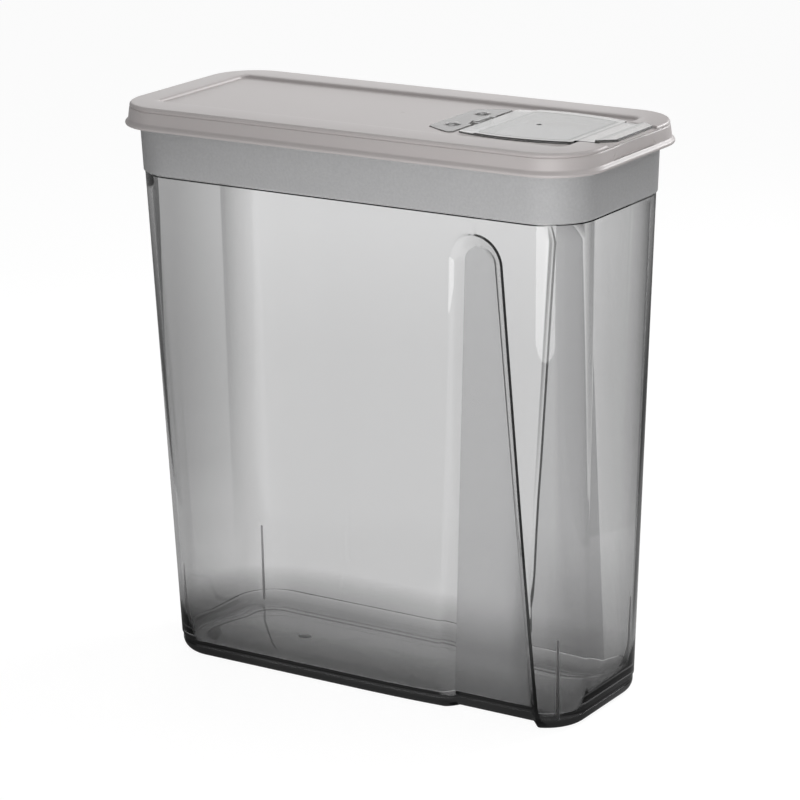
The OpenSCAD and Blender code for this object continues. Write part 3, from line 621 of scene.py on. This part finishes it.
def satin_plastic(name, colour):
    """Polypropylene from an etched mould: a satin skin with a soft, wide sheen."""
    material, tree = new_material(name)
    place = add_node(tree, "ShaderNodeTexCoord").outputs["Object"]
    cloud = noise(tree, place, 25.0, 3.0)
    bump = add_node(tree, "ShaderNodeBump", {"Height": noise(tree, place, 2500.0), "Strength": 0.4,
                                             "Distance": 0.00005})
    shade = remap(tree, cloud, to=(0.97, 1.03))
    shader = add_node(tree, "ShaderNodeBsdfPrincipled", {
        "Base Color": mix_colours(tree, 1.0, tint(colour), shade, "MULTIPLY"),
        "Roughness": remap(tree, cloud, to=(0.33, 0.4)), "IOR": 1.49,
        "Normal": bump.outputs["Normal"]})
    add_node(tree, "ShaderNodeOutputMaterial", {"Surface": shader.outputs["BSDF"]})
    return material


lid.data.materials.append(satin_plastic("warm_grey_satin_polypropylene", "C6C0BF"))
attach(lid, "lid")
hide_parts("lid")


# Hinge strip.
# A small see-through moulding of natural polypropylene, snapped into the lid's pocket by two domed
# studs with split barbs. Its knuckle block carries the flap's two trunnions in a cross bore.
STRIP_T, DOME_R, DOME_H = 1.2, 4.5, 0.9
SHANK_R, BARB_R, BARB_TIP_R, SLIT_W, SLIT_L = 2.3, 2.8, 1.8, 1, 8
BLOCK_X, BLOCK_HALF, BLOCK_Z0, BLOCK_Z1, BLOCK_R = (44.8, 49.0), 5.85, 269.4, 274.6, 0.8
GROOVE_DEEP, GROOVE_WIDE, EAR_SLOT_END = 0.35, 0.5, 8.35
AXIS_X, AXIS_Z, BORE_R = 46.9, 273.0, 1.05


def block_profile():
    """Side view of the knuckle block: rounded on top, two grooves across its front."""
    x0, x1 = BLOCK_X
    top, inner = BLOCK_Z1 - BLOCK_R, x1 - GROOVE_DEEP
    outline = [(x0, BLOCK_Z0), (x1, BLOCK_Z0)]
    for z in (BLOCK_Z0 + 0.55, BLOCK_Z0 + 1.65):
        outline += [(x1, z), (inner, z), (inner, z + GROOVE_WIDE), (x1, z + GROOVE_WIDE)]
    outline += arc(x1 - BLOCK_R, top, BLOCK_R, 0, math.pi / 2, 8)
    return outline + arc(x0 + BLOCK_R, top, BLOCK_R, math.pi / 2, math.pi / 2, 8)


def stud_rings(y):
    """A stud from its barbed tip up to its low dome."""
    low, top = STRIP_Z - LID_T - 0.2, STRIP_Z + STRIP_T
    ball = (DOME_R ** 2 + DOME_H ** 2) / (2 * DOME_H)
    rings = [(BARB_TIP_R, low - 2.2), (BARB_R, low - 0.6), (BARB_R, low), (SHANK_R, low),
             (SHANK_R, top - 0.3), (DOME_R, top - 0.3), (DOME_R, top)]
    for share in (0.85, 0.7, 0.5, 0.3, 0.1):
        a = math.asin(DOME_R / ball) * share
        rings.append((ball * math.sin(a), top + DOME_H - ball * (1 - math.cos(a))))
    return [round_ring(STUD_X, y, r, z) for r, z in rings]


def hinge_circle(radius, steps=31):
    """A full circle round the hinge's axis, in x and z."""
    return arc(AXIS_X, AXIS_Z, radius, 0, 2 * math.pi * steps / (steps + 1), steps)


strip = add_slab("hinge_plate", strip_outline(0), STRIP_Z, STRIP_Z + STRIP_T)
ear_slots = []
for side in (-1, 1):
    ear_slot = rectangle(BLOCK_X[0] - 0.2, 50, *on_side(side, (BLOCK_HALF, EAR_SLOT_END)))
    ear_slots.append(add_slab("ear_slot", ear_slot, 270, 276))
combine(strip, ear_slots, "DIFFERENCE")
studs = [add_solid("stud", stud_rings(side * STUD_Y)) for side in (-1, 1)]
block = add_bar("block", block_profile(), -BLOCK_HALF, BLOCK_HALF)
combine(strip, studs + [block], "UNION")
openings = [add_bar("bore", hinge_circle(BORE_R), -8, 8)]
for side in (-1, 1):
    slit = rectangle(*about(STUD_X, SLIT_W), *about(side * STUD_Y, SLIT_L))
    openings.append(add_slab("slit", slit, 267, 270.4))
combine(strip, openings, "DIFFERENCE")
soften(strip, 0.12, 40)
settle(strip, 32, even=True)


def mix_shaders(tree, factor, first, second):
    node = add_node(tree, "ShaderNodeMixShader", {0: factor, 1: first.outputs[0],
                                                  2: second.outputs[0]})
    return node.outputs["Shader"]


def natural_plastic(name):
    """Natural polypropylene, moulded thin: see-through, but a little milky. Light falls through
    it onto the lid, so that it doesn't cast a solid shadow."""
    material, tree = new_material(name)
    place = add_node(tree, "ShaderNodeTexCoord").outputs["Object"]
    bump = add_node(tree, "ShaderNodeBump", {"Height": noise(tree, place, 60.0), "Strength": 1.0,
                                             "Distance": 0.000005})
    shader = add_node(tree, "ShaderNodeBsdfPrincipled", {
        "Base Color": tint("F2F2F1"), "Transmission Weight": 0.92, "IOR": 1.45, "Roughness": 0.05,
        "Normal": bump.outputs["Normal"]})
    lit = add_node(tree, "ShaderNodeBsdfTransparent", {"Color": tint("EFEFEF")})
    rays = add_node(tree, "ShaderNodeLightPath").outputs
    surface = mix_shaders(tree, rays["Is Shadow Ray"], shader, lit)
    add_clear_output(tree, surface, "C8C8C8", 200.0)
    return material


clear = natural_plastic("clear_moulded_polypropylene")
strip.data.materials.append(clear)
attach(strip, "lid")
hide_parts("hinge_strip")


# Spout flap.
# One see-through moulding: a thin flange at the hinge, a broad plate with a hollow plug under it,
# and a tongue that crosses the lid's rim and ends in a raised finger lip. It swings on its ears.
FLAP_Z, FLANGE_T, FLANGE_X, PLATE_Z, LIP_Z = 273.4, 0.9, 59.6, 274.8, 275.95
LIP_X0, LIP_X1, LIP_HALF, LIP_T, LIP_R = 117.6, 126.3, 17.6, 1.3, 0.65
TONGUE_X0, TONGUE_HALF = FLAP_X1 - 1, 22.0
PLUG_LOW, PLUG_X1, SPOUT_WALL, SPOUT_IN = 270.2, HOLE[1] - 0.4, 1.2, 3.6
EAR_R, EAR_T, EAR_X, EAR_Y = 1.5, 2.0, FLAP_X0 + 0.6, BLOCK_HALF + 0.25
EAR_START, EAR_TURN = 1.9, 3.4
PIN_R, PIN_L, PIN_SUNK = 1.0, 2.6, 0.3
FLAP_GATE_X, FLAP_GATE_R, FLAP_GATE_D = 77, 0.9, 0.45


def lip_profile():
    """Side view of the tongue and the raised lip, rounded at its tip."""
    low, foot = LIP_Z - LIP_T, FLAP_Z + 0.1
    tip = arc(LIP_X1 - LIP_R, low + LIP_R, LIP_R, -math.pi / 2, math.pi, 8)
    under = [(TONGUE_X0, foot), (LIP_X0, foot), (LIP_X0 + 0.9, low)]
    over = [(LIP_X0 + 0.6, LIP_Z), (LIP_X0 + 0.25, LIP_Z - 0.25), (LIP_X0, PLATE_Z),
            (TONGUE_X0, PLATE_Z)]
    return under + tip + over


def tongue_outline(r=2.5):
    """The tongue from above: broad where it leaves the plate, narrower at the lip."""
    side = arc(LIP_X1 - r, LIP_HALF - r, r, 0, 1.1, 6)
    return mirrored(side + [(LIP_X0 + 1.5, TONGUE_HALF), (TONGUE_X0, TONGUE_HALF)])


flap = add_slab("flap_plate", boat(FLAP_X0, FLAP_X1, 0, 2.0), FLAP_Z, PLATE_Z)
flange_z, behind = FLAP_Z + FLANGE_T, FLAP_X0 - 1
flange_step = [(behind, flange_z), (FLANGE_X, flange_z), (FLANGE_X + 1, PLATE_Z),
               (FLANGE_X + 1, PLATE_Z + 1), (behind, PLATE_Z + 1)]
combine(flap, [add_bar("flange_step", flange_step, -40, 40),
               add_dish(FLAP_GATE_X, PLATE_Z, FLAP_GATE_R, FLAP_GATE_D)], "DIFFERENCE")
plug = add_slab("plug", boat(FLANGE_X, PLUG_X1, SPOUT_IN, 3.0), PLUG_LOW, FLAP_Z + 0.1)
plug_room = boat(FLANGE_X + SPOUT_WALL, PLUG_X1 - SPOUT_WALL, SPOUT_IN + SPOUT_WALL, 2.0)
combine(plug, [add_slab("plug_room", plug_room, 269, FLAP_Z + 0.05)], "DIFFERENCE")
tongue = add_bar("tongue", lip_profile(), -30, 30)
combine(tongue, [add_slab("tongue_plan", tongue_outline(), 270, ABOVE)], "INTERSECT")
parts = [plug, tongue]
ear = arc(AXIS_X, AXIS_Z, EAR_R, EAR_START, EAR_TURN, 14)
ear += [(EAR_X, FLAP_Z + 0.05), (EAR_X, flange_z - 0.02)]
for side in (-1, 1):
    parts.append(add_bar("ear", ear, *on_side(side, (EAR_Y, EAR_Y + EAR_T))))
    pin_ends = on_side(side, (EAR_Y - PIN_L, EAR_Y + PIN_SUNK))
    parts.append(add_bar("pin", hinge_circle(PIN_R), *pin_ends))
combine(flap, parts, "UNION")
soften(flap, 0.12, 40)
settle(flap, 32, even=True)
flap.data.materials.append(clear)
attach(flap, "flap")
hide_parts("spout_flap")


# Studio paper.
# White paper that runs out under the whole scene. The camera sees it bright. Rays that come
# through the plastic or from its gloss find it toned down with painted shade: a painted shadow
# near the object and painted shade at both sides of the view, because the container in the photo
# shows such darker parts.
FOOT_MIDDLE, FOOT_REACH = (0, 0.03, 0), (0.09, 0, 0)
# Painted shadow round the foot: the paper's level for rays through the plastic or off its gloss,
# by distance from the foot in metres.
PAPER_PAINTED_SHADE = ((0.0, 0.05), (0.03, 0.12), (0.06, 0.22), (0.09, 0.52), (0.125, 0.87),
               (0.55, 0.89), (0.9, 1.0))
VIEW_RIGHT = (0.84, 0.54, 0)


def vector_calc(tree, operation, *values):
    """The outputs of a Vector Math node."""
    node = add_node(tree, "ShaderNodeVectorMath", dict(enumerate(values)), operation=operation)
    return node.outputs


def studio_paper(name):
    """Matt white paper, with the painted shade that the plastic shows of it."""
    material, tree = new_material(name)
    place = add_node(tree, "ShaderNodeTexCoord").outputs["Object"]
    # How far a place is from the line under the length of the container, in metres.
    shifted = vector_calc(tree, "ADD", place, FOOT_MIDDLE)["Vector"]
    folded = vector_calc(tree, "ABSOLUTE", shifted)["Vector"]
    past_foot = vector_calc(tree, "SUBTRACT", folded, FOOT_REACH)["Vector"]
    outside = vector_calc(tree, "MAXIMUM", past_foot, (0, 0, 0))["Vector"]
    away = vector_calc(tree, "LENGTH", outside)["Value"]
    # Painted shadow: the paper is darker the nearer it is to the foot.
    ramp = add_node(tree, "ShaderNodeValToRGB", {"Fac": away})
    stops = ramp.color_ramp.elements
    for distance, level in PAPER_PAINTED_SHADE:
        stop = stops.new(distance) if distance else stops[0]
        stop.color = (level, level, level, 1)
    # Where it lies between the left and the right of the view, the same all along a sight line.
    across = vector_calc(tree, "DOT_PRODUCT", place, VIEW_RIGHT)["Value"]
    bearing = calc(tree, "DIVIDE", across, calc(tree, "MULTIPLY_ADD", away, 0.6, 1.0))
    # Painted shade: darker towards the left and the right of the view, and towards the right near
    # the object.
    left_painted_shade = mix_values(tree, remap(tree, bearing, -0.11, -0.066), 0.5, 1.0)
    right_painted_shade = remap(tree, bearing, 0.095, 0.17, to=(1.0, 0.2))
    corner = remap(tree, bearing, 0.04, 0.075, to=(1.0, 0.62))
    right_corner_painted_shade = mix_values(tree, remap(tree, away, 0.12, 0.25), corner, 1.0)
    painted_shade = ramp.outputs["Color"]
    for share in (left_painted_shade, right_painted_shade, right_corner_painted_shade):
        painted_shade = calc(tree, "MULTIPLY", painted_shade, share)
    rays = add_node(tree, "ShaderNodeLightPath").outputs
    bounce = calc(tree, "MAXIMUM", rays["Is Transmission Ray"], rays["Is Glossy Ray"])
    matt_sheet = add_node(tree, "ShaderNodeBsdfDiffuse", {"Color": tint("F2F2F2")})
    # Rays through the plastic or off its gloss see the paper's glow dimmed by the painted shade;
    # the camera sees it evenly bright.
    glow = add_node(tree, "ShaderNodeEmission", {"Color": tint("FFFFFF"),
                                                 "Strength": mix_values(tree, bounce, 1.14, painted_shade)})
    direct = calc(tree, "MULTIPLY", rays["Is Camera Ray"], 0.8)
    surface = mix_shaders(tree, calc(tree, "MAXIMUM", direct, bounce), matt_sheet, glow)
    add_node(tree, "ShaderNodeOutputMaterial", {"Surface": surface})
    return material


bpy.ops.mesh.primitive_plane_add(size=12, location=(0, 0, 0))
floor = bpy.context.object
floor.name = "studio_floor"
floor.data.materials.append(studio_paper("white_studio_paper"))


# Studio cards.
# Dark cards just outside the view, as glassware is lit: clear edges and end walls show them. They
# glow with painted light instead of being lit, and show only in the gloss and through the plastic,
# as painted reflections. The camera doesn't see them, and they stop no light. They stand along the
# view, left and right of it.
VIEW_YAW = 0.5706
CARD_OUT, CARD_TALL, CARD_Z, CARD_SIN, CARD_COS = 0.29, 0.55, 0.28, 0.54, 0.841


def glowing_card(name, low, high):
    """A card that glows with painted light, brighter higher up, as if lit more strongly there."""
    material, tree = new_material(name)
    place = add_node(tree, "ShaderNodeTexCoord").outputs["Generated"]
    height = add_node(tree, "ShaderNodeSeparateXYZ", {"Vector": place}).outputs["Y"]
    # Painted light: the card's glow goes from its low grey to its high grey up its height.
    grey = mix_colours(tree, remap(tree, height, 0.1, 0.4), tint(low), tint(high))
    shader = add_node(tree, "ShaderNodeEmission", {"Color": grey})
    add_node(tree, "ShaderNodeOutputMaterial", {"Surface": shader.outputs["Emission"]})
    return material


# Painted reflections: two grey cards that glow brighter higher up, and a black one on the right
# for painted dark.
for name, side, low, high, near, far in (
        ("grey_card_left", -1, "5A5A5A", "B4B4B4", 0.05, 1.15),
        ("grey_card_right", 1, "505050", "B4B4B4", 0.05, 1.15),
        ("black_card_right", 1, "0A0A0A", "0A0A0A", -0.45, 0.05)):
    bpy.ops.mesh.primitive_plane_add(size=1)
    card = bpy.context.object
    card.name = name
    card.scale = (far - near, CARD_TALL, 1)
    card.rotation_euler = (math.pi / 2, 0, VIEW_YAW + math.pi / 2)
    out, middle = side * CARD_OUT, (near + far) / 2
    card.location = (out * CARD_COS - middle * CARD_SIN,
                     out * CARD_SIN + middle * CARD_COS, CARD_Z)
    card.data.materials.append(glowing_card(name, low, high))
    card.visible_camera = card.visible_diffuse = card.visible_shadow = False


# Studio light.
# A white room, dim where it lights the object and bright where the camera sees it, directly or
# through the plastic. Four softboxes add the broad gloss on the lid and on the front of the wall.
world = bpy.data.worlds.new("studio")
bpy.context.scene.world = world
world.use_nodes = True
world.node_tree.nodes.clear()
sky_rays = add_node(world.node_tree, "ShaderNodeLightPath").outputs
seen = calc(world.node_tree, "MAXIMUM", sky_rays["Is Camera Ray"], sky_rays["Is Transmission Ray"])
dim, bright = [add_node(world.node_tree, "ShaderNodeBackground", {"Color": tint("FFFFFF"),
                                                                  "Strength": strength})
               for strength in (0.27, 1.0)]
sky = mix_shaders(world.node_tree, seen, dim, bright)
add_node(world.node_tree, "ShaderNodeOutputWorld", {"Surface": sky})


def add_softbox(name, place, target, size, power):
    """A rectangular lamp of some size in metres and power in watts, turned to its target."""
    bpy.ops.object.light_add(type="AREA", location=place)
    lamp = bpy.context.object
    lamp.name = name
    lamp.data.shape = "RECTANGLE"
    lamp.data.size, lamp.data.size_y = size
    lamp.data.energy = power
    lamp.visible_camera = lamp.visible_transmission = False
    lamp.rotation_euler = (Vector(target) - Vector(place)).to_track_quat("-Z", "Y").to_euler()


add_softbox("top_softbox", (0.05, 0.2, 0.95), (0, 0, 0.27), (1.1, 0.4), 1.8)
add_softbox("front_softbox", (0.22, -0.38, 0.2), (0.05, 0, 0.22), (0.3, 0.3), 0.85)
add_softbox("left_softbox", (-0.42, 0.52, 0.46), (-0.06, 0, 0.27), (0.5, 0.35), 0.5)
add_softbox("edge_softbox", (0.345, 0.72, 0.544), (-0.1, 0, 0.27), (0.4, 0.25), 4.0)


# Camera.
# The photo's own viewing angle, solved from the edges of the object: its turn round the object,
# its pitch and its small roll in radians, and its distance from the point that it looks at.
PITCH, ROLL, DISTANCE, LENS, SENSOR = 0.2896, -0.0169, 1.52995, 145.417, 36.0
AIM = Vector((0.00032, 0, 0.13454))
back = Vector((math.sin(VIEW_YAW) * math.cos(PITCH), -math.cos(VIEW_YAW) * math.cos(PITCH),
               math.sin(PITCH)))
flat_right = Vector((math.cos(VIEW_YAW), math.sin(VIEW_YAW), 0))
flat_up = back.cross(flat_right)
right = math.cos(ROLL) * flat_right + math.sin(ROLL) * flat_up
up = -math.sin(ROLL) * flat_right + math.cos(ROLL) * flat_up
camera_data = bpy.data.cameras.new("photo_view")
camera_data.lens, camera_data.sensor_width = LENS, SENSOR
camera = bpy.data.objects.new("photo_view", camera_data)
bpy.context.collection.objects.link(camera)
turn = Matrix((right, up, back)).transposed().to_4x4()
camera.matrix_world = Matrix.Translation(AIM + back * DISTANCE) @ turn
bpy.context.scene.camera = camera
bpy.context.scene.view_settings.view_transform = "Standard"
